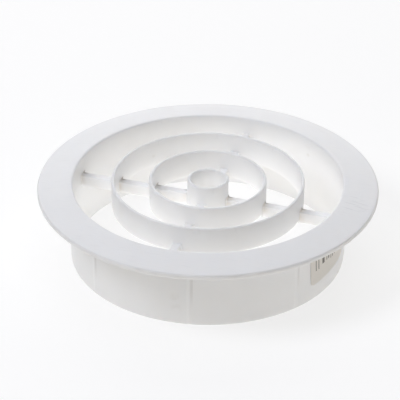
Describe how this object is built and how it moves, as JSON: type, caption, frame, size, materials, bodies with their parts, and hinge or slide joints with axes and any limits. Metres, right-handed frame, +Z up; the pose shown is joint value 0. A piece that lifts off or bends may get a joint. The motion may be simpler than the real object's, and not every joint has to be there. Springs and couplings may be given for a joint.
{
  "type": "round vent cover",
  "caption": "Round white vent cover: a collar that slips into a duct, a dished flange, and concentric hoops on a cross of spokes.",
  "frame": {"origin": "centre of the collar's bottom rim, on the plane that it stands on", "axes": "+Z up along the collar's axis towards the flange, +X and +Y along the spokes"},
  "size_m": [0.152, 0.152, 0.0364],
  "materials": {
    "white_plastic": "satin moulded",
    "label_paper": "matt paper with plain printed bars"
  },
  "bodies": {
    "root": {"vent_cover": "white_plastic", "paper_label": "label_paper"}
  },
  "joints": []
}
